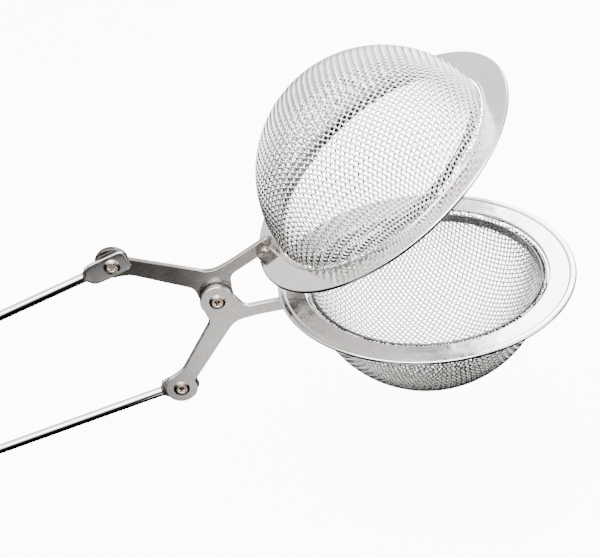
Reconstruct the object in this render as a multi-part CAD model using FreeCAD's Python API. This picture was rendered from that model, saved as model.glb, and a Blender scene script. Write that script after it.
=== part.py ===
import FreeCAD, Part
import math
import os

# Tea infuser: two woven-wire hemispherical baskets on a scissor pair of stamped levers,
# opened by squeezing a sprung U-shaped wire handle. Millimetres.
#
# Basket frame used while building: origin at the centre of the lower rim's meeting
# plane, +X away from the handle, +Z up.  Everything is moved at the end so the crown
# of the handle's bow is the origin.

# ---- driving dimensions -------------------------------------------------------------
OPEN_ANGLE = 33.8        # degrees between the two rims as stored
RIM_OD = 61.0
COLLAR_R = 24.95         # inside of the turned-in edge
SHEET = 0.55             # rim sheet thickness
RIM_DEEP = 0.8           # meeting plane to the outside face
BEAD_W = 1.2             # bead round the outer edge, proud of the face
BEAD_PROUD = 0.22
NECK_DEEP = 1.0          # turned-in edge, just past the outside face
CLOTH_T = 0.8            # woven cloth, crest to crest
CLOTH_GAP = 0.05
DOME_RISE = 0.5          # dome centre above the meeting plane
CLOTH_TOP = 0.7          # the cloth starts this far below the meeting plane
RETAINER_R = 23.8
RETAINER_T = 0.45
RETAINER_TOP = 0.8
RETAINER_END = 2.7

PIVOT_X = -43.0          # central pivot
PIVOT_RISE = 0.8         # above the lower rim's meeting plane
LEVER_T = 1.3
LEVER_GAP = 0.5          # washer space between the two levers
LOBE_R = 3.5
EYE_R = 3.4
ARM_B = 22.75            # pivot to rear rivet
REAR_HALF = 47.0         # half the angle between the rear arms, as stored
TAB_EDGE = 2.4           # free edge of the foot tab, across the handle's middle plane
TAB_START = 12.9
TAB_END = 17.1
FOOT_X = 15.0
FOOT_Y = 1.2

WIRE_D = 2.0
BOW_R = 13.5
ROD_SPAN = 72.0          # rear rivet to bow centre, along the handle
PADDLE_T = 1.1
PADDLE_W = 4.8
PADDLE_FRONT = 3.5
PADDLE_BACK_UP = 5.0     # the upper wire is flattened over a longer stretch
PADDLE_NECK_UP = 1.3
PADDLE_BACK_LOW = 3.6
PADDLE_NECK_LOW = 0.8

SHANK_R = 0.9
BORE_R = 0.42
HEAD_R = 1.7
HEAD_T = 0.5
RUN_FIT = 0.05
PIVOT_SLACK = 1.0        # extra room round the shank in the upper lever
WASHER_R = 3.0
BACK_WASHER_T = 0.4

FOOT_SHANK_R = 0.6
FOOT_HEAD_R = 0.85
FOOT_HEAD_T = 0.4
FOOT_TAIL_T = 0.15

# ---- derived ------------------------------------------------------------------------
RIM_R = RIM_OD / 2.0
CLOTH_R = COLLAR_R - CLOTH_GAP
HALF_GAP = LEVER_GAP / 2.0
AXIS_TILT = OPEN_ANGLE / 2.0
PIVOT = FreeCAD.Vector(PIVOT_X, 0, PIVOT_RISE)
BACK_FACE = HALF_GAP + LEVER_T
REAR_U = ARM_B * math.cos(math.radians(REAR_HALF))
REAR_V = ARM_B * math.sin(math.radians(REAR_HALF))
BOW_U = REAR_U + ROD_SPAN
X_AXIS = FreeCAD.Vector(1, 0, 0)
Y_AXIS = FreeCAD.Vector(0, 1, 0)
Z_AXIS = FreeCAD.Vector(0, 0, 1)


# ---- helpers ------------------------------------------------------------------------
def on_handle(u, v, y=0.0):
    """Point u along the handle from the pivot (towards the bow) and v above its axis."""
    a = math.radians(AXIS_TILT)
    x = PIVOT_X - u * math.cos(a) - v * math.sin(a)
    z = PIVOT_RISE - u * math.sin(a) + v * math.cos(a)
    return FreeCAD.Vector(x, y, z)


def rounded_face(corners, y=0.0):
    """Face in the XZ plane from corners (x, z, corner radius)."""
    n = len(corners)
    pts = [FreeCAD.Vector(c[0], y, c[1]) for c in corners]
    edges = []
    last = None
    first = None
    for i in range(n):
        here = pts[i]
        r = corners[i][2]
        back = (pts[i - 1] - here).normalize()
        ahead = (pts[(i + 1) % n] - here).normalize()
        if r > 0:
            half = back.getAngle(ahead) / 2.0
            cut = r / math.tan(half)
            start = here + back * cut
            stop = here + ahead * cut
            bisector = (back + ahead).normalize()
            middle = here + bisector * (r / math.sin(half) - r)
        else:
            start = here
            stop = here
        if last is not None and (start - last).Length > 1e-6:
            edges.append(Part.makeLine(last, start))
        if r > 0:
            edges.append(Part.Arc(start, middle, stop).toShape())
        if first is None:
            first = start
        last = stop
    if (first - last).Length > 1e-6:
        edges.append(Part.makeLine(last, first))
    return Part.Face(Part.Wire(edges))


def turned(corners):
    """Solid of revolution about Z from a profile of (radius, z, corner radius)."""
    return rounded_face(corners).revolve(FreeCAD.Vector(0, 0, 0), Z_AXIS, 360)


def pin(point, y0, y1, r):
    base = FreeCAD.Vector(point.x, y0, point.z)
    return Part.makeCylinder(r, y1 - y0, base, Y_AXIS)


def cleaned(shape):
    shape = shape.removeSplitter()
    if shape.ShapeType == "Compound" and len(shape.Solids) == 1:
        return shape.Solids[0]
    return shape


def to_upper(shape):
    """The upper half is the lower half turned over about X, then swung open."""
    s = shape.copy()
    s.rotate(PIVOT, X_AXIS, 180)
    s.rotate(PIVOT, Y_AXIS, -OPEN_ANGLE)
    return s


# ---- baskets ------------------------------------------------------------------------
def rim():
    face = -BEAD_PROUD
    under = -RIM_DEEP
    bead_in = RIM_R - BEAD_W
    return turned([
        (COLLAR_R, face, 0.3),
        (bead_in - 0.25, face, 0.3),
        (bead_in + 0.05, 0.0, 0.15),
        (RIM_R, 0.0, 0.35),
        (RIM_R, under, 0.35),
        (COLLAR_R + SHEET, under, 0.05),
        (COLLAR_R + SHEET, -NECK_DEEP, 0.1),
        (COLLAR_R, -NECK_DEEP, 0.15),
    ])


def cloth():
    """The woven bowl as one thin shell, starting inside the rim's turned-in edge."""
    centre = FreeCAD.Vector(0, 0, DOME_RISE)
    ball = Part.makeSphere(CLOTH_R, centre).cut(Part.makeSphere(CLOTH_R - CLOTH_T, centre))
    side = 2.0 * RIM_OD
    corner = FreeCAD.Vector(-RIM_OD, -RIM_OD, -CLOTH_TOP)
    return cleaned(ball.cut(Part.makeBox(side, side, side, corner)))


def retainer():
    return turned([
        (RETAINER_R - RETAINER_T, -RETAINER_TOP, 0.15),
        (RETAINER_R, -RETAINER_TOP, 0.15),
        (RETAINER_R, -RETAINER_END, 0.15),
        (RETAINER_R - RETAINER_T, -RETAINER_END, 0.15),
    ])


def foot_rivet():
    """Solid rivet through the foot tab and the rim's face."""
    top = -BEAD_PROUD
    under = -(RIM_DEEP + LEVER_T)
    r = FOOT_SHANK_R
    shape = rounded_face([
        (0.0, top + FOOT_TAIL_T, 0),
        (FOOT_HEAD_R, top + FOOT_TAIL_T, 0.05),
        (FOOT_HEAD_R, top, 0),
        (r, top, 0),
        (r, under, 0),
        (FOOT_HEAD_R, under, 0),
        (FOOT_HEAD_R, under - FOOT_HEAD_T, 0.3),
        (0.0, under - FOOT_HEAD_T, 0),
    ]).revolve(FreeCAD.Vector(0, 0, 0), Z_AXIS, 360)
    shape.translate(FreeCAD.Vector(PIVOT_X + FOOT_X, FOOT_Y, 0))
    return shape


# ---- levers -------------------------------------------------------------------------
def rear_point():
    """Rear rivet of the lower lever."""
    return on_handle(REAR_U, -REAR_V)


def lever_outline():
    """Stamped outline of the lower lever, pivot lobe to foot and rear eye."""
    p = rear_point()
    px = PIVOT_X
    pz = PIVOT_RISE
    arms = rounded_face([
        (px + TAB_END, -RIM_DEEP, 0),
        (px + TAB_END, pz - 3.9, 1.3),
        (px + 8.0, pz - 4.5, 12.0),
        (px + 3.0, pz - 5.2, 5.0),
        (p.x + 3.1, p.z + 1.6, 0),
        (p.x, p.z, 0),
        (p.x - 1.6, p.z + 2.9, 0),
        (p.x + 0.9, p.z + 4.6, 3.5),
        (px - 2.0, pz - 4.6, 2.5),
        (px - 3.4, pz - 0.6, 0),
        (px, pz, 0),
        (px + 2.3, pz + 2.6, 0),
        (px + 5.5, pz - 2.1, 2.0),
        (px + 12.0, -RIM_DEEP, 1.0),
    ])
    lobe = Part.Face(Part.Wire(Part.makeCircle(LOBE_R, PIVOT, Y_AXIS)))
    eye = Part.Face(Part.Wire(Part.makeCircle(EYE_R, FreeCAD.Vector(p.x, 0, p.z), Y_AXIS)))
    return arms.fuse(lobe).fuse(eye).removeSplitter()


def foot_tab():
    """Tab bent square off the lever, lying against the outside of the rim."""
    y0 = -BACK_FACE
    y1 = TAB_EDGE
    tab = Part.makeBox(
        TAB_END - TAB_START,
        y1 - y0,
        LEVER_T,
        FreeCAD.Vector(PIVOT_X + TAB_START, y0, -(RIM_DEEP + LEVER_T)),
    )
    corners = []
    for e in tab.Edges:
        mid = e.CenterOfMass
        upright = abs(e.Vertexes[0].Point.z - e.Vertexes[1].Point.z) > 0.5
        if upright and mid.y > y1 - 0.1:
            corners.append(e)
    return tab.makeFillet(0.9, corners)


def lever_blank():
    plate = lever_outline().extrude(FreeCAD.Vector(0, LEVER_T, 0))
    plate.translate(FreeCAD.Vector(0, -BACK_FACE, 0))
    return cleaned(plate.fuse(foot_tab()))


def eased(shape):
    """Break the sharp stamped edges that run round the two flat sides."""
    picked = []
    for e in shape.Edges:
        ys = [v.Point.y for v in e.Vertexes]
        mid = e.CenterOfMass
        front = max(ys) < -BACK_FACE + 0.01
        back = min(ys) > -HALF_GAP - 0.01 and max(ys) < -HALF_GAP + 0.01
        if (front or back) and mid.x < PIVOT_X + TAB_START - 1.5:
            picked.append(e)
    try:
        return shape.makeFillet(0.2, picked)
    except Exception:
        return shape


def lever(pivot_hole):
    shape = eased(lever_blank())
    foot = FreeCAD.Vector(PIVOT_X + FOOT_X, FOOT_Y, -10)
    cuts = [
        pin(PIVOT, -9, 9, pivot_hole),
        pin(rear_point(), -9, 9, SHANK_R + RUN_FIT),
        Part.makeCylinder(FOOT_SHANK_R, 20, foot, Z_AXIS),
    ]
    for c in cuts:
        shape = shape.cut(c)
    return cleaned(shape)


# ---- rivets and washers -------------------------------------------------------------
def tubular_rivet(point, y0, y1):
    """Hollow rivet with rolled heads outside y0 and y1."""
    a = y0 - HEAD_T
    b = y1 + HEAD_T
    mouth = BORE_R + 0.35
    prof = rounded_face([
        (BORE_R, a + 0.6, 0.3),
        (mouth, a, 0.25),
        (HEAD_R, a, 0.4),
        (HEAD_R, y0, 0),
        (SHANK_R, y0, 0),
        (SHANK_R, y1, 0),
        (HEAD_R, y1, 0),
        (HEAD_R, b, 0.4),
        (mouth, b, 0.25),
        (BORE_R, b - 0.6, 0.3),
    ])
    shape = prof.revolve(FreeCAD.Vector(0, 0, 0), Z_AXIS, 360)
    shape.rotate(FreeCAD.Vector(0, 0, 0), X_AXIS, -90)
    shape.translate(FreeCAD.Vector(point.x, 0, point.z))
    return shape


def washer(y0, y1):
    ring = pin(PIVOT, y0, y1, WASHER_R)
    return ring.cut(pin(PIVOT, y0 - 1, y1 + 1, SHANK_R + RUN_FIT))


# ---- handle -------------------------------------------------------------------------
def rod_slope():
    """Angle the straight wire makes with the handle's axis, tangent to the bow."""
    reach = math.hypot(ROD_SPAN, REAR_V)
    return math.atan2(REAR_V, ROD_SPAN) - math.asin(BOW_R / reach)


def tangent_point():
    s = rod_slope()
    return BOW_U + BOW_R * math.sin(s), BOW_R * math.cos(s)


def place_handle(shape):
    """From the flat layout (X = u, Z = v) to the handle's place."""
    s = shape.copy()
    s.rotate(FreeCAD.Vector(0, 0, 0), Z_AXIS, 180)
    s.rotate(FreeCAD.Vector(0, 0, 0), Y_AXIS, -AXIS_TILT)
    s.translate(PIVOT)
    return s


def wire_flat(paddle_back, paddle_neck):
    """Straight wire laid along +X, its paddle at the origin and the bow to +X."""
    tu, tv = tangent_point()
    length = math.hypot(tu - REAR_U, REAR_V - tv)
    rod_from = paddle_back + paddle_neck
    r = WIRE_D / 2.0
    rod = Part.makeCylinder(r, length - rod_from, FreeCAD.Vector(rod_from, 0, 0), X_AXIS)
    mid_y = HALF_GAP - 0.05 - PADDLE_T / 2.0
    round_end = Part.Wire(Part.makeCircle(r, FreeCAD.Vector(rod_from, 0, 0), X_AXIS))
    oval = Part.Ellipse(FreeCAD.Vector(paddle_back, mid_y, 0), PADDLE_W / 2.0, PADDLE_T / 2.0)
    flat = oval.toShape()
    flat.rotate(FreeCAD.Vector(paddle_back, mid_y, 0), Y_AXIS, 90)
    neck = Part.makeLoft([Part.Wire(flat), round_end], True)
    paddle = Part.makeBox(
        PADDLE_FRONT + paddle_back,
        PADDLE_T,
        PADDLE_W,
        FreeCAD.Vector(-PADDLE_FRONT, mid_y - PADDLE_T / 2.0, -PADDLE_W / 2.0),
    )
    ends = []
    for e in paddle.Edges:
        along_y = abs(e.Vertexes[0].Point.y - e.Vertexes[1].Point.y) > 0.5
        if along_y:
            ends.append(e)
    paddle = paddle.makeFillet(1.1, ends)
    return paddle.fuse(neck).fuse(rod)


def wire_half(upper):
    if upper:
        s = wire_flat(PADDLE_BACK_UP, PADDLE_NECK_UP)
    else:
        s = wire_flat(PADDLE_BACK_LOW, PADDLE_NECK_LOW)
    slope = math.degrees(rod_slope())
    hole = Part.makeCylinder(SHANK_R, 20, FreeCAD.Vector(0, -10, 0), Y_AXIS)
    s = cleaned(s.cut(hole))
    if upper:
        s.rotate(FreeCAD.Vector(0, 0, 0), X_AXIS, 180)
        s.rotate(FreeCAD.Vector(0, 0, 0), Y_AXIS, slope)
        s.translate(FreeCAD.Vector(REAR_U, 0, REAR_V))
    else:
        s.rotate(FreeCAD.Vector(0, 0, 0), Y_AXIS, -slope)
        s.translate(FreeCAD.Vector(REAR_U, 0, -REAR_V))
    return place_handle(s)


def bow():
    s = math.degrees(rod_slope())
    sweep = 180.0 - 2.0 * s
    ring = Part.makeTorus(BOW_R, WIRE_D / 2.0, FreeCAD.Vector(0, 0, 0), Z_AXIS, -180, 180, sweep)
    ring.rotate(FreeCAD.Vector(0, 0, 0), Z_AXIS, -sweep / 2.0)
    ring.rotate(FreeCAD.Vector(0, 0, 0), X_AXIS, 90)
    ring.translate(FreeCAD.Vector(BOW_U, 0, 0))
    return place_handle(ring)


# ---- the object ---------------------------------------------------------------------
def nodes():
    low_rear = rear_point()
    up_rear = on_handle(REAR_U, REAR_V)
    low_rim = rim()
    hole = Part.makeCylinder(
        FOOT_SHANK_R, 20, FreeCAD.Vector(PIVOT_X + FOOT_X, FOOT_Y, -10), Z_AXIS
    )
    low_rim = cleaned(low_rim.cut(hole))
    paddle_near = HALF_GAP - 0.05
    paddle_far = paddle_near - PADDLE_T
    out = {
        "rim_lower": low_rim,
        "rim_upper": to_upper(low_rim),
        "cloth_lower": cloth(),
        "cloth_upper": to_upper(cloth()),
        "retainer_lower": retainer(),
        "retainer_upper": to_upper(retainer()),
        "foot_rivet_lower": foot_rivet(),
        "foot_rivet_upper": to_upper(foot_rivet()),
        "lever_lower": lever(SHANK_R),
        "lever_upper": to_upper(lever(SHANK_R + PIVOT_SLACK)),
        "pivot_rivet": tubular_rivet(PIVOT, -BACK_FACE, BACK_FACE + BACK_WASHER_T + 0.06),
        "pivot_washer": washer(-HALF_GAP + 0.02, HALF_GAP - 0.03),
        "pivot_washer_back": washer(BACK_FACE + 0.04, BACK_FACE + 0.04 + BACK_WASHER_T),
        "rear_rivet_lower": tubular_rivet(low_rear, -BACK_FACE - 0.03, -paddle_far),
        "rear_rivet_upper": tubular_rivet(up_rear, paddle_far, BACK_FACE + 0.03),
        "handle_wire_lower": wire_half(False),
        "handle_wire_upper": wire_half(True),
        "handle_bow": bow(),
    }
    crown = on_handle(BOW_U + BOW_R, 0)
    for shape in out.values():
        shape.translate(crown * -1.0)
    return out


def main():
    os.makedirs("parts", exist_ok=True)
    for name, shape in nodes().items():
        solids = shape.Solids
        ok = shape.isValid()
        print(name, "solids", len(solids), "valid", ok, "volume %.3f" % shape.Volume)
        shape.exportStep("parts/" + name + ".step")


main()
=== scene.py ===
import bmesh
import bpy
import math
import numpy as np
from mathutils import Matrix, Vector


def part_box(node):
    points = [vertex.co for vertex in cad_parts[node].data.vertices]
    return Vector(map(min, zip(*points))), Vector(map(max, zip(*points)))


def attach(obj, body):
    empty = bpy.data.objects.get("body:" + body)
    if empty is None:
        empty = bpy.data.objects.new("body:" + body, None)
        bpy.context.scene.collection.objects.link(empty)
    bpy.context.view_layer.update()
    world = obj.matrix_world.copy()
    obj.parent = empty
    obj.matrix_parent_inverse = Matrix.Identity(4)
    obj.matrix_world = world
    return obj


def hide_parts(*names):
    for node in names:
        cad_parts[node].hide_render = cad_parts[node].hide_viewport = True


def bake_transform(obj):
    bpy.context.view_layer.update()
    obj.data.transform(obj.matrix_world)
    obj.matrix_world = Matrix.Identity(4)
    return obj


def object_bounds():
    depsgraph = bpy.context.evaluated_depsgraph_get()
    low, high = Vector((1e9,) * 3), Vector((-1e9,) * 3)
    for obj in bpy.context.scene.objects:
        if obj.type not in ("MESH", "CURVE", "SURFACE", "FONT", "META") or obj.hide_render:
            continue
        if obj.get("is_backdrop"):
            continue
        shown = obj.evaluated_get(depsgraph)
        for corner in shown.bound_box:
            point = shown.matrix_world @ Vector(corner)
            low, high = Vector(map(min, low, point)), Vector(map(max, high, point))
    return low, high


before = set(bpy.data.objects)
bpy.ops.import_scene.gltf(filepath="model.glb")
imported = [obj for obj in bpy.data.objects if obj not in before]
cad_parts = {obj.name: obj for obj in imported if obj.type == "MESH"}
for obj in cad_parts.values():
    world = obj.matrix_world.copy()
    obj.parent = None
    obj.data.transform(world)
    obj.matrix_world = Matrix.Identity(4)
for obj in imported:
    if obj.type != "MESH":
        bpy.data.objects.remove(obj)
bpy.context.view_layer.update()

# ---- dimensions (metres, degrees) ---------------------------------------------------
MM = 0.001
OPEN_ANGLE = 33.8
TILT = math.radians(OPEN_ANGLE / 2.0)
RIM_R = 30.5 * MM
BEAD_W = 1.2 * MM
FACE_DROP = 0.22 * MM
RIM_DEEP = 0.8 * MM
COLLAR_R = 24.95 * MM
SHEET = 0.55 * MM
NECK_DEEP = 1.0 * MM
DOME_RISE = 0.5 * MM
CLOTH_MID = 24.45 * MM
CLOTH_PITCH = 0.95 * MM
CLOTH_WIRE_R = 0.19 * MM
CLOTH_CRIMP = 0.88 * CLOTH_WIRE_R
CLOTH_SIDES = 5
CLOTH_STEPS = 4
CLOTH_TURN = 45.0
CLOTH_TOP = 0.7 * MM
RETAINER_R = 23.8 * MM
RETAINER_T = 0.45 * MM
WIRE_R = 1.0 * MM
BOW_R = 13.5 * MM
ROD_SPAN = 72.0 * MM
PADDLE_T = 1.1 * MM
PADDLE_W = 4.8 * MM
PADDLE_FRONT = 3.5 * MM
PADDLE_UP = (5.0 * MM, 1.3 * MM)
PADDLE_LOW = (3.6 * MM, 0.8 * MM)
HALF_GAP = 0.25 * MM
LEVER_T = 1.3 * MM
HEAD_R = 1.7 * MM
HEAD_T = 0.5 * MM
BORE_R = 0.42 * MM
SHANK_R = 0.9 * MM
BACK_WASHER_T = 0.4 * MM

CAM_AZ = -2.5
CAM_EL = 33.94
CAM_ROLL = -6.56
CAM_DIST = 338.54 * MM
CAM_SIDE = 25.72 * MM
CAM_DROP = -1.45 * MM
FOCAL_OVER_WIDTH = 1655.0 / 600.0

SKY_POWER = 2.3
SKY_LEVELS = ((-0.06, 0.03), (0.0, 0.38), (0.22, 0.62), (0.56, 0.76), (0.80, 0.95), (1.0, 1.3))
SKY_FRONT = (0.0, 0.33, 0.94)
FLOOR_GLOW = 9.0
CARD_REACH = 100.0 * MM
CARD_GLOW = 1.35


def centre(node):
    """Middle of a CAD piece's box."""
    lo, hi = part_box(node)
    return (Vector(lo) + Vector(hi)) / 2.0


PIVOT = centre("pivot_washer")
PIVOT.y = 0.0
LOW_REAR = centre("rear_rivet_lower")
LOW_REAR.y = 0.0
UP_REAR = centre("rear_rivet_upper")
UP_REAR.y = 0.0
RIM_CENTRE = centre("rim_lower")
RIM_CENTRE.y = 0.0
RIM_CENTRE.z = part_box("rim_lower")[1][2]

LOWER = Matrix.Translation(RIM_CENTRE)
UPPER = (
    Matrix.Translation(PIVOT)
    @ Matrix.Rotation(math.radians(-OPEN_ANGLE), 4, "Y")
    @ Matrix.Rotation(math.pi, 4, "X")
    @ Matrix.Translation(RIM_CENTRE - PIVOT)
)


# ---- mesh helpers -------------------------------------------------------------------
def mesh_object(name, verts, faces, smooth=True):
    me = bpy.data.meshes.new(name)
    me.from_pydata([tuple(v) for v in verts], [], faces)
    me.update()
    if smooth:
        me.polygons.foreach_set("use_smooth", [True] * len(me.polygons))
    o = bpy.data.objects.new(name, me)
    bpy.context.scene.collection.objects.link(o)
    return o


def arc_profile(corners, steps=6):
    """Closed 2-D outline from corners (a, b, corner radius)."""
    out = []
    n = len(corners)
    for i in range(n):
        here = np.array(corners[i][:2], float)
        r = corners[i][2]
        back = np.array(corners[i - 1][:2], float) - here
        ahead = np.array(corners[(i + 1) % n][:2], float) - here
        back /= np.linalg.norm(back)
        ahead /= np.linalg.norm(ahead)
        if r <= 0:
            out.append(here)
            continue
        half = math.acos(max(-1.0, min(1.0, float(back @ ahead)))) / 2.0
        cut = r / math.tan(half)
        mid = here + (back + ahead) / np.linalg.norm(back + ahead) * r / math.sin(half)
        a = here + back * cut - mid
        b = here + ahead * cut - mid
        total = math.acos(max(-1.0, min(1.0, float(a @ b) / (r * r))))
        sign = 1.0 if a[0] * b[1] - a[1] * b[0] > 0 else -1.0
        for k in range(steps + 1):
            t = sign * total * k / steps
            c, s = math.cos(t), math.sin(t)
            out.append(mid + np.array([c * a[0] - s * a[1], s * a[0] + c * a[1]]))
    return out


def lathe(name, corners, matrix, segments=160, steps=6):
    """Turned solid round local Z from a closed (radius, z) outline."""
    prof = arc_profile(corners, steps)
    n = len(prof)
    verts = []
    faces = []
    for i in range(segments):
        a = 2.0 * math.pi * i / segments
        for r, z in prof:
            verts.append(matrix @ Vector((r * math.cos(a), r * math.sin(a), z)))
    for i in range(segments):
        j = (i + 1) % segments
        for k in range(n):
            m = (k + 1) % n
            faces.append((i * n + k, i * n + m, j * n + m, j * n + k))
    o = mesh_object(name, verts, faces)
    fix_normals(o)
    return o


def fix_normals(o):
    """Weld doubled points and turn every face outwards."""
    bm = bmesh.new()
    bm.from_mesh(o.data)
    bmesh.ops.remove_doubles(bm, verts=bm.verts, dist=1e-7)
    bmesh.ops.recalc_face_normals(bm, faces=bm.faces)
    bm.to_mesh(o.data)
    bm.free()


def sharpen(o, angle=35.0):
    """Weighted shading normals, with creases kept where faces meet sharply."""
    o.data.set_sharp_from_angle(angle=math.radians(angle))
    mod = o.modifiers.new("weighted", "WEIGHTED_NORMAL")
    mod.keep_sharp = True
    mod.weight = 80


# ---- woven cloth --------------------------------------------------------------------
def draped_grid(half):
    """A square net of equal cells laid over a bowl: cell corners as unit vectors."""
    step = CLOTH_PITCH / CLOTH_MID
    pts = {}
    for k in range(-half, half + 1):
        a = k * step
        pts[(k, 0)] = np.array([math.sin(a), 0.0, -math.cos(a)])
        pts[(0, k)] = np.array([0.0, math.sin(a), -math.cos(a)])
    for si in (1, -1):
        for sj in (1, -1):
            for i in range(1, half + 1):
                for j in range(1, half + 1):
                    p = pts[(si * (i - 1), sj * j)]
                    q = pts[(si * i, sj * (j - 1))]
                    o = pts[(si * (i - 1), sj * (j - 1))]
                    n = np.cross(p, q)
                    length = np.linalg.norm(n)
                    if length < 1e-6:
                        pts[(si * i, sj * j)] = p
                        continue
                    n = n / length
                    pts[(si * i, sj * j)] = o - 2.0 * float(o @ n) * n
    return pts


def wire_run(grid, half, line, warp):
    """Longest stretch of one wire inside the rim, with one crossing more at each end."""
    top = -(CLOTH_TOP + DOME_RISE) / CLOTH_MID
    row = []
    for k in range(-half, half + 1):
        key = (k, line) if warp else (line, k)
        phase = 1.0 if ((k + line) % 2 == 0) == warp else -1.0
        row.append((grid[key], phase))
    best = (0, 0)
    start = None
    for i, (p, phase) in enumerate(row):
        inside = p[2] <= top and 0 < i < 2 * half
        if inside and start is None:
            start = i
        if not inside and start is not None:
            if i - start > best[1] - best[0]:
                best = (start, i)
            start = None
    if best[1] == best[0]:
        return []
    return row[best[0] - 1:best[1] + 1]


def trimmed(points):
    """Cut a centre line off level with the top of the cloth."""
    top = -(CLOTH_TOP + DOME_RISE)
    out = []
    for p, q in zip(points[:-1], points[1:]):
        if (p[2] > top) != (q[2] > top):
            t = (top - p[2]) / (q[2] - p[2])
            cut = p * (1 - t) + q * t
            if p[2] > top:
                out.extend([cut, q])
            else:
                out.append(cut)
        elif q[2] <= top:
            if not out:
                out.append(p)
            out.append(q)
    return out


def tube_along(points, radius, sides):
    """Ring vertices and faces of a round tube through points."""
    pts = np.array(points)
    tangents = np.gradient(pts, axis=0)
    tangents /= np.linalg.norm(tangents, axis=1)[:, None]
    verts = []
    faces = []
    for p, t in zip(pts, tangents):
        out = p / np.linalg.norm(p)
        side = np.cross(t, out)
        side /= np.linalg.norm(side)
        up = np.cross(side, t)
        for s in range(sides):
            a = 2.0 * math.pi * s / sides
            verts.append(p + radius * (math.cos(a) * side + math.sin(a) * up))
    n = len(pts)
    for i in range(n - 1):
        for s in range(sides):
            t = (s + 1) % sides
            faces.append((i * sides + s, i * sides + t, (i + 1) * sides + t, (i + 1) * sides + s))
    faces.append(tuple(reversed(range(sides))))
    faces.append(tuple((n - 1) * sides + s for s in range(sides)))
    return verts, faces


def cloth(name, matrix, body, node):
    """Woven bowl: one mesh for the warp wires and one for the weft wires."""
    half = math.ceil(math.pi / 2.0 * CLOTH_MID / CLOTH_PITCH) + 1
    grid = draped_grid(half)
    spin = Matrix.Rotation(math.radians(CLOTH_TURN), 4, "Z")
    made = []
    for warp in (True, False):
        verts = []
        faces = []
        for line in range(-half + 1, half):
            run = wire_run(grid, half, line, warp)
            path = []
            for (p, phase), (q, _) in zip(run[:-1], run[1:]):
                for k in range(CLOTH_STEPS):
                    t = k / CLOTH_STEPS
                    d = p * (1 - t) + q * t
                    d /= np.linalg.norm(d)
                    lift = phase * math.cos(math.pi * t)
                    path.append(d * (CLOTH_MID + CLOTH_CRIMP * lift))
            path = trimmed(path)
            if len(path) < 4:
                continue
            v, f = tube_along(path, CLOTH_WIRE_R, CLOTH_SIDES)
            base = len(verts)
            verts.extend(v)
            faces.extend(tuple(base + i for i in face) for face in f)
        rise = Vector((0, 0, DOME_RISE))
        world = [matrix @ spin @ (Vector(v) + rise) for v in verts]
        o = mesh_object(name + ("_warp" if warp else "_weft"), world, faces)
        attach(o, body)
        o.data.materials.append(MATS["cloth"])
        made.append(o)
    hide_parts(node)
    return made


# ---- materials ----------------------------------------------------------------------
def painted_shade_ramp(nt, coords, colour_out, x0, x1, shade):
    """Painted shade: multiply a colour by shade at x0, rising to the plain colour at x1."""
    sep = nt.nodes.new("ShaderNodeSeparateXYZ")
    nt.links.new(coords.outputs["Object"], sep.inputs["Vector"])
    level = nt.nodes.new("ShaderNodeMapRange")
    level.interpolation_type = "SMOOTHSTEP"
    level.inputs["From Min"].default_value = x0
    level.inputs["From Max"].default_value = x1
    level.inputs["To Min"].default_value = shade
    nt.links.new(sep.outputs["X"], level.inputs["Value"])
    scale = nt.nodes.new("ShaderNodeVectorMath")
    scale.operation = "SCALE"
    nt.links.new(colour_out, scale.inputs[0])
    nt.links.new(level.outputs["Result"], scale.inputs["Scale"])
    return scale.outputs["Vector"]


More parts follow.
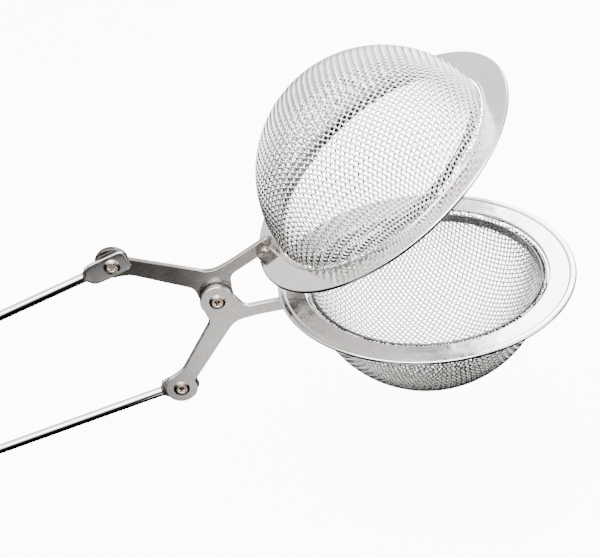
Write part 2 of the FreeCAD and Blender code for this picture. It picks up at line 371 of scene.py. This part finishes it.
def metal(name, colour, rough, grain=0.0, grain_scale=900.0, stretch=(1, 1, 1), tint=None,
          blotch=0.06, bump=0.02, wave=0.0, painted_shade_span=None):
    """Procedural metal: cloudy colour, grained roughness and a fine bump, with optional painted
    shade along X.
    """
    m = bpy.data.materials.new(name)
    m.use_nodes = True
    nt = m.node_tree
    b = nt.nodes["Principled BSDF"]
    b.inputs["Metallic"].default_value = 1.0
    tc = nt.nodes.new("ShaderNodeTexCoord")
    mp = nt.nodes.new("ShaderNodeMapping")
    mp.inputs["Scale"].default_value = stretch
    nt.links.new(tc.outputs["Object"], mp.inputs["Vector"])
    big = nt.nodes.new("ShaderNodeTexNoise")
    big.inputs["Scale"].default_value = 90.0
    big.inputs["Detail"].default_value = 3.0
    nt.links.new(tc.outputs["Object"], big.inputs["Vector"])
    fine = nt.nodes.new("ShaderNodeTexNoise")
    fine.inputs["Scale"].default_value = grain_scale
    fine.inputs["Detail"].default_value = 4.0
    nt.links.new(mp.outputs["Vector"], fine.inputs["Vector"])
    ramp = nt.nodes.new("ShaderNodeValToRGB")
    other = tint or tuple(c * (1.0 - blotch) for c in colour)
    ramp.color_ramp.elements[0].position = 0.35
    ramp.color_ramp.elements[1].position = 0.65
    ramp.color_ramp.elements[0].color = (*other, 1)
    ramp.color_ramp.elements[1].color = (*colour, 1)
    nt.links.new(big.outputs["Fac"], ramp.inputs["Fac"])
    colour_out = ramp.outputs["Color"]
    # Optional painted shade: the colour darkens towards the first X of the span.
    if painted_shade_span:
        colour_out = painted_shade_ramp(nt, tc, colour_out, *painted_shade_span)
    nt.links.new(colour_out, b.inputs["Base Color"])
    rr = nt.nodes.new("ShaderNodeMapRange")
    rr.inputs["From Min"].default_value = 0.3
    rr.inputs["From Max"].default_value = 0.7
    rr.inputs["To Min"].default_value = max(0.02, rough - grain)
    rr.inputs["To Max"].default_value = rough + grain
    nt.links.new(fine.outputs["Fac"], rr.inputs["Value"])
    nt.links.new(rr.outputs["Result"], b.inputs["Roughness"])
    bp = nt.nodes.new("ShaderNodeBump")
    bp.inputs["Strength"].default_value = bump
    bp.inputs["Distance"].default_value = 0.00005
    nt.links.new(fine.outputs["Fac"], bp.inputs["Height"])
    if wave:
        slow = nt.nodes.new("ShaderNodeBump")
        slow.inputs["Strength"].default_value = wave
        slow.inputs["Distance"].default_value = 0.0004
        nt.links.new(big.outputs["Fac"], slow.inputs["Height"])
        nt.links.new(slow.outputs["Normal"], bp.inputs["Normal"])
    nt.links.new(bp.outputs["Normal"], b.inputs["Normal"])
    return m


MATS = {
    "rim": metal("rim_polish", (0.93, 0.905, 0.885), 0.15, 0.04, 700.0, (1, 1, 1),
                 tint=(0.86, 0.835, 0.82), bump=0.02, wave=0.6),
    "cloth": metal("cloth_wire", (0.95, 0.94, 0.93), 0.14, 0.05, 1500.0, bump=0.03),
    "wire": metal("wire_polish", (0.90, 0.90, 0.91), 0.11, 0.02, 600.0, bump=0.004),
    "paddle": metal("paddle_hammered", (0.66, 0.65, 0.63), 0.34, 0.08, 900.0,
                    tint=(0.42, 0.41, 0.40), bump=0.12),
    "lever": metal("lever_grain", (0.78, 0.765, 0.745), 0.30, 0.06, 2600.0, (1, 1, 0.25),
                   tint=(0.72, 0.70, 0.685), bump=0.06),
    # Upper lever: the lower lever's steel painted darker as a painted dark reflection, with
    # painted shade deepening towards its rear end.
    "lever_painted_dark_reflection": metal("lever_grain_painted_dark_reflection", (0.60, 0.575, 0.56), 0.26, 0.06, 2600.0,
                        (0.25, 1, 1), tint=(0.46, 0.43, 0.41), bump=0.06,
                        painted_shade_span=(PIVOT.x - 9 * MM, PIVOT.x + 9 * MM, 0.18)),
    "rivet": metal("rivet_satin", (0.66, 0.57, 0.50), 0.20, 0.05, 1500.0, bump=0.03),
    "washer": metal("washer_steel", (0.78, 0.78, 0.78), 0.25, 0.05, 1500.0, bump=0.03),
    # Retainer: stainless band painted near-black, a painted shade for the dark inside of the
    # neck.
    "retainer": metal("retainer_steel_painted_shade", (0.17, 0.17, 0.175), 0.25, 0.05, 900.0, bump=0.03),
}


def paint(node, mat):
    """Put a material on a piece carried over from the CAD."""
    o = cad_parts[node]
    for s in o.material_slots:
        s.material = MATS[mat]


# ---- baskets ------------------------------------------------------------------------
def rim(name, matrix, body, node):
    """Flat flange with a raised bead outside and a short neck inside."""
    face = -FACE_DROP
    under = -RIM_DEEP
    bead = RIM_R - BEAD_W
    o = lathe(name, [
        (COLLAR_R, face, 0.3 * MM),
        (bead - 0.25 * MM, face, 0.2 * MM),
        (bead + 0.05 * MM, 0.0, 0.15 * MM),
        (RIM_R, 0.0, 0.38 * MM),
        (RIM_R, under, 0.38 * MM),
        (COLLAR_R + SHEET, under, 0.05 * MM),
        (COLLAR_R + SHEET, -NECK_DEEP, 0.1 * MM),
        (COLLAR_R, -NECK_DEEP, 0.15 * MM),
    ], matrix, 256)
    sharpen(o)
    o.data.materials.append(MATS["rim"])
    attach(o, body)
    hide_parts(node)
    return o


def retainer(name, matrix, body, node):
    """Plain band that presses the cloth against the neck."""
    r = RETAINER_R
    t = RETAINER_T
    o = lathe(name, [
        (r - t, -0.8 * MM, 0.15 * MM),
        (r, -0.8 * MM, 0.15 * MM),
        (r, -2.7 * MM, 0.15 * MM),
        (r - t, -2.7 * MM, 0.15 * MM),
    ], matrix, 192)
    sharpen(o)
    # The band's near-black colour is painted shade.
    o.data.materials.append(MATS["retainer"])
    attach(o, body)
    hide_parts(node)
    return o


def basket(tag, matrix, body):
    rim("rim_" + tag + "_turned", matrix, body, "rim_" + tag)
    retainer("retainer_" + tag + "_turned", matrix, body, "retainer_" + tag)
    cloth("cloth_" + tag, matrix, body, "cloth_" + tag)


# ---- handle -------------------------------------------------------------------------
def handle_point(u, v):
    """Point of the handle's plane, u back from the pivot and v up from its middle line."""
    ax = Vector((-math.cos(TILT), 0, -math.sin(TILT)))
    up = Vector((-math.sin(TILT), 0, math.cos(TILT)))
    return PIVOT + ax * u + up * v


def section(centre_pt, along, wide, thick, shift, power, count=28):
    """Superellipse ring: wide across the handle's plane, thick along Y."""
    across = along.cross(Vector((0, 1, 0))).normalized()
    ring = []
    for k in range(count):
        a = 2.0 * math.pi * k / count
        c, s = math.cos(a), math.sin(a)
        x = math.copysign(abs(c) ** (2.0 / power), c) * wide
        y = math.copysign(abs(s) ** (2.0 / power), s) * thick
        ring.append(centre_pt + across * x + Vector((0, 1, 0)) * (y + shift))
    return ring


def paddle_rings(rear, along, sign, back, neck):
    """Flattened end of the wire, tip first, growing into the round rod."""
    mid = HALF_GAP - 0.05 * MM - PADDLE_T / 2.0
    shift = sign * mid
    rings = []
    w = PADDLE_W / 2.0
    h = PADDLE_T / 2.0
    stations = [
        (-PADDLE_FRONT, w * 0.55, h * 0.55), (-PADDLE_FRONT + 0.04 * MM, w * 0.68, h * 0.75),
        (-PADDLE_FRONT + 0.2 * MM, w * 0.82, h * 0.94), (-PADDLE_FRONT + 0.5 * MM, w * 0.93, h),
        (-PADDLE_FRONT + 1.0 * MM, w * 0.99, h), (-PADDLE_FRONT + 2.0 * MM, w, h),
        (0.0, w, h), (back - 1.6 * MM, w, h), (back - 0.8 * MM, w * 0.97, h),
        (back - 0.2 * MM, w * 0.88, h),
    ]
    for s, ww, hh in stations:
        rings.append(section(rear + along * s, along, ww, hh, shift, 5.0))
    for k in range(1, 7):
        t = k / 6.0
        e = t * t * (3 - 2 * t)
        s = back - 0.2 * MM + t * (neck + 0.2 * MM)
        ww = w * 0.88 * (1 - e) + WIRE_R * e
        hh = h * (1 - e) + WIRE_R * e
        power = 5.0 * (1 - e) + 2.0 * e
        rings.append(section(rear + along * s, along, ww, hh, shift * (1 - e), power))
    return rings


def handle():
    """The whole bent wire as one mesh, from the lower flattened end round to the upper one."""
    rear_u = (LOW_REAR - PIVOT).dot(Vector((-math.cos(TILT), 0, -math.sin(TILT))))
    rear_v = (UP_REAR - LOW_REAR).length / 2.0
    slope = math.atan2(rear_v, ROD_SPAN) - math.asin(BOW_R / math.hypot(ROD_SPAN, rear_v))
    bow_u = rear_u + ROD_SPAN
    top = handle_point(bow_u + BOW_R * math.sin(slope), BOW_R * math.cos(slope))
    low = handle_point(bow_u + BOW_R * math.sin(slope), -BOW_R * math.cos(slope))
    rings = []
    along = (low - LOW_REAR).normalized()
    rings.extend(paddle_rings(LOW_REAR, along, -1.0, *PADDLE_LOW))
    start = sum(PADDLE_LOW)
    length = (low - LOW_REAR).length
    for k in range(1, 25):
        s = start + (length - start) * k / 24.0
        rings.append(section(LOW_REAR + along * s, along, WIRE_R, WIRE_R, 0.0, 2.0))
    steps = 48
    for k in range(1, steps):
        a = -math.pi / 2 + slope + (math.pi - 2 * slope) * k / steps
        p = handle_point(bow_u + BOW_R * math.cos(a), BOW_R * math.sin(a))
        q = handle_point(bow_u + BOW_R * math.cos(a) - math.sin(a) * MM,
                         BOW_R * math.sin(a) + math.cos(a) * MM)
        rings.append(section(p, (q - p).normalized(), WIRE_R, WIRE_R, 0.0, 2.0))
    away = (top - UP_REAR).normalized()
    start = sum(PADDLE_UP)
    for k in range(24, 0, -1):
        s = start + (length - start) * k / 24.0
        rings.append(section(UP_REAR + away * s, -away, WIRE_R, WIRE_R, 0.0, 2.0))
    upper = paddle_rings(UP_REAR, away, 1.0, *PADDLE_UP)
    n = len(upper[0])
    turned_over = []
    for ring in reversed(upper):
        turned_over.append([ring[(n // 2 - k) % n] for k in range(n)])
    rings.extend(turned_over)
    verts = [v for ring in rings for v in ring]
    faces = []
    for i in range(len(rings) - 1):
        for k in range(n):
            m = (k + 1) % n
            faces.append((i * n + k, i * n + m, (i + 1) * n + m, (i + 1) * n + k))
    faces.append(tuple(range(n)))
    faces.append(tuple((len(rings) - 1) * n + k for k in range(n)))
    o = mesh_object("handle_wire", verts, faces)
    flat = len(upper) - 2
    for i, poly in enumerate(o.data.polygons):
        station = i // n
        if station < flat or station >= len(rings) - 1 - flat:
            poly.material_index = 1
    fix_normals(o)
    sharpen(o, 50)
    o.data.materials.append(MATS["wire"])
    o.data.materials.append(MATS["paddle"])
    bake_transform(o)
    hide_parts("handle_wire_lower", "handle_wire_upper", "handle_bow")
    return o


# ---- rivets -------------------------------------------------------------------------
def tubular_rivet(name, point, y0, y1, body, node):
    """Rolled rivet between two clamped faces, y0 in front and y1 behind."""
    a = y0 - HEAD_T
    b = y1 + HEAD_T
    mouth = BORE_R + 0.34 * MM
    m = Matrix.Translation(Vector((point.x, 0, point.z))) @ Matrix.Rotation(-math.pi / 2, 4, "X")
    skirt = 0.12 * MM
    crest = 1.12 * MM
    o = lathe(name, [
        (BORE_R, a + 0.7 * MM, 0.3 * MM),
        (mouth, a, 0.2 * MM),
        (crest, a, 0.3 * MM),
        (HEAD_R, y0 - skirt, 0.1 * MM),
        (HEAD_R, y0, 0),
        (SHANK_R, y0, 0),
        (SHANK_R, y1, 0),
        (HEAD_R, y1, 0),
        (HEAD_R, y1 + skirt, 0.1 * MM),
        (crest, b, 0.3 * MM),
        (mouth, b, 0.2 * MM),
        (BORE_R, b - 0.7 * MM, 0.3 * MM),
    ], m, 64, 8)
    sharpen(o)
    o.data.materials.append(MATS["rivet"])
    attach(o, body)
    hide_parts(node)
    return o


def rivets():
    back = HALF_GAP + LEVER_T
    far = HALF_GAP - 0.05 * MM - PADDLE_T
    tubular_rivet("pivot_rivet_rolled", PIVOT, -back, back + BACK_WASHER_T + 0.06 * MM,
                  "bowl_lower", "pivot_rivet")
    tubular_rivet("rear_rivet_lower_rolled", LOW_REAR, -back - 0.03 * MM, -far,
                  "grip_lower", "rear_rivet_lower")
    tubular_rivet("rear_rivet_upper_rolled", UP_REAR, far, back + 0.03 * MM,
                  "grip_upper", "rear_rivet_upper")


# ---- studio -------------------------------------------------------------------------
def emissive(name, colour, strength, body=None):
    m = bpy.data.materials.new(name)
    m.use_nodes = True
    b = m.node_tree.nodes["Principled BSDF"]
    b.inputs["Base Color"].default_value = (*(body or colour), 1)
    b.inputs["Emission Color"].default_value = (*colour, 1)
    b.inputs["Emission Strength"].default_value = strength
    b.inputs["Roughness"].default_value = 0.9
    return m


def area(name, where, aim, size, power):
    """Rectangular light that faces a point."""
    d = bpy.data.lights.new(name, "AREA")
    d.shape = "RECTANGLE"
    d.size, d.size_y = size
    d.energy = power
    o = bpy.data.objects.new(name, d)
    bpy.context.scene.collection.objects.link(o)
    o.location = where
    o.rotation_euler = (Vector(aim) - Vector(where)).to_track_quat("-Z", "Y").to_euler()
    return o


def sky():
    """Soft white room, brightest overhead; dark below and low in front."""
    world = bpy.data.worlds.new("studio")
    bpy.context.scene.world = world
    world.use_nodes = True
    nt = world.node_tree
    bg = nt.nodes["Background"]
    bg.inputs["Color"].default_value = (1.0, 0.985, 0.97, 1)
    tc = nt.nodes.new("ShaderNodeTexCoord")
    sep = nt.nodes.new("ShaderNodeSeparateXYZ")
    nt.links.new(tc.outputs["Generated"], sep.inputs["Vector"])
    height = nt.nodes.new("ShaderNodeFloatCurve")
    nt.links.new(sep.outputs["Z"], height.inputs["Value"])
    curve = height.mapping
    curve.clip_min_x = -1.0
    curve.clip_min_y = 0.0
    curve.clip_max_y = 2.0
    points = curve.curves[0].points
    points[0].location = (-1.0, 0.02)
    points[1].location = SKY_LEVELS[-1]
    for where in SKY_LEVELS[:-1]:
        points.new(*where)
    for p in points:
        p.handle_type = "VECTOR"
    curve.update()
    lean = nt.nodes.new("ShaderNodeVectorMath")
    lean.operation = "DOT_PRODUCT"
    lean.inputs[1].default_value = SKY_FRONT
    nt.links.new(tc.outputs["Generated"], lean.inputs[0])
    front = nt.nodes.new("ShaderNodeMapRange")
    front.interpolation_type = "SMOOTHSTEP"
    front.inputs["From Min"].default_value = 0.0
    front.inputs["From Max"].default_value = 0.10
    front.inputs["To Min"].default_value = 0.05 * SKY_POWER
    front.inputs["To Max"].default_value = SKY_POWER
    nt.links.new(lean.outputs["Value"], front.inputs["Value"])
    level = nt.nodes.new("ShaderNodeMath")
    level.operation = "MULTIPLY"
    nt.links.new(height.outputs["Value"], level.inputs[0])
    nt.links.new(front.outputs["Result"], level.inputs[1])
    nt.links.new(level.outputs["Value"], bg.inputs["Strength"])


def front_card():
    """Pale card low in front, the thing the levers' flat sides face in reflection."""
    away = Vector((0.0, -0.83, -0.56)).normalized()
    across = Vector((1.0, 0.0, 0.0))
    up = across.cross(away)
    if up.z < 0:
        up = -up
    middle = PIVOT + away * CARD_REACH
    outline = ((-29, -8), (-29, 16), (31, 16), (31, -42), (-14, -42), (-14, -8))
    verts = [middle + across * (x * MM) + up * (u * MM) for x, u in outline]
    o = mesh_object("card_front", verts, [(0, 1, 2, 5), (5, 2, 3, 4)], False)
    o.data.materials.append(emissive("card_pale", (1.0, 0.97, 0.94), CARD_GLOW, (0.0, 0.0, 0.0)))
    o.visible_camera = False
    o.visible_shadow = False
    o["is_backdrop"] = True


def studio():
    sky()
    front_card()
    floor = bpy.data.meshes.new("floor")
    s = 3.0
    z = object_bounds()[0][2] - 0.03
    floor.from_pydata([(-s, -s, z), (s, -s, z), (s, s, z), (-s, s, z)], [], [(0, 1, 2, 3)])
    fo = bpy.data.objects.new("floor", floor)
    bpy.context.scene.collection.objects.link(fo)
    floor.materials.append(emissive("floor_pale", (0.97, 0.97, 0.97), FLOOR_GLOW))
    fo.visible_glossy = False
    fo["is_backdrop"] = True
    aim = (RIM_CENTRE.x - 0.02, 0, RIM_CENTRE.z)
    area("key", (0.0, -0.25, 0.55), aim, (0.8, 0.6), 10.0)
    area("side", (0.55, -0.2, 0.25), aim, (0.4, 0.4), 2.0)
    back = RIM_CENTRE + Vector((0.19, 0.49, 0.35))
    area("back_right", back, tuple(RIM_CENTRE), (0.16, 0.30), 1.3)


def camera():
    """Camera on a ray set by azimuth and elevation, rolled and shifted in its own plane."""
    az, el, roll = (math.radians(v) for v in (CAM_AZ, CAM_EL, CAM_ROLL))
    d = Vector((math.sin(az) * math.cos(el), -math.cos(az) * math.cos(el), math.sin(el)))
    fwd = -d
    right = fwd.cross(Vector((0, 0, 1))).normalized()
    up = right.cross(fwd)
    r2 = right * math.cos(roll) + up * math.sin(roll)
    u2 = up * math.cos(roll) - right * math.sin(roll)
    where = RIM_CENTRE - fwd * CAM_DIST - r2 * CAM_SIDE + u2 * CAM_DROP
    m = Matrix((
        (r2.x, u2.x, -fwd.x, where.x),
        (r2.y, u2.y, -fwd.y, where.y),
        (r2.z, u2.z, -fwd.z, where.z),
        (0, 0, 0, 1),
    ))
    data = bpy.data.cameras.new("camera")
    data.sensor_width = 36.0
    data.lens = 36.0 * FOCAL_OVER_WIDTH
    data.clip_start = 0.01
    data.clip_end = 20.0
    o = bpy.data.objects.new("camera", data)
    bpy.context.scene.collection.objects.link(o)
    o.matrix_world = m
    bpy.context.scene.camera = o


basket("lower", LOWER, "bowl_lower")
basket("upper", UPPER, "bowl_upper")
handle()
rivets()
paint("lever_lower", "lever")
paint("lever_upper", "lever_painted_dark_reflection")
paint("pivot_washer", "washer")
paint("pivot_washer_back", "washer")
paint("foot_rivet_lower", "rivet")
paint("foot_rivet_upper", "rivet")
studio()
camera()
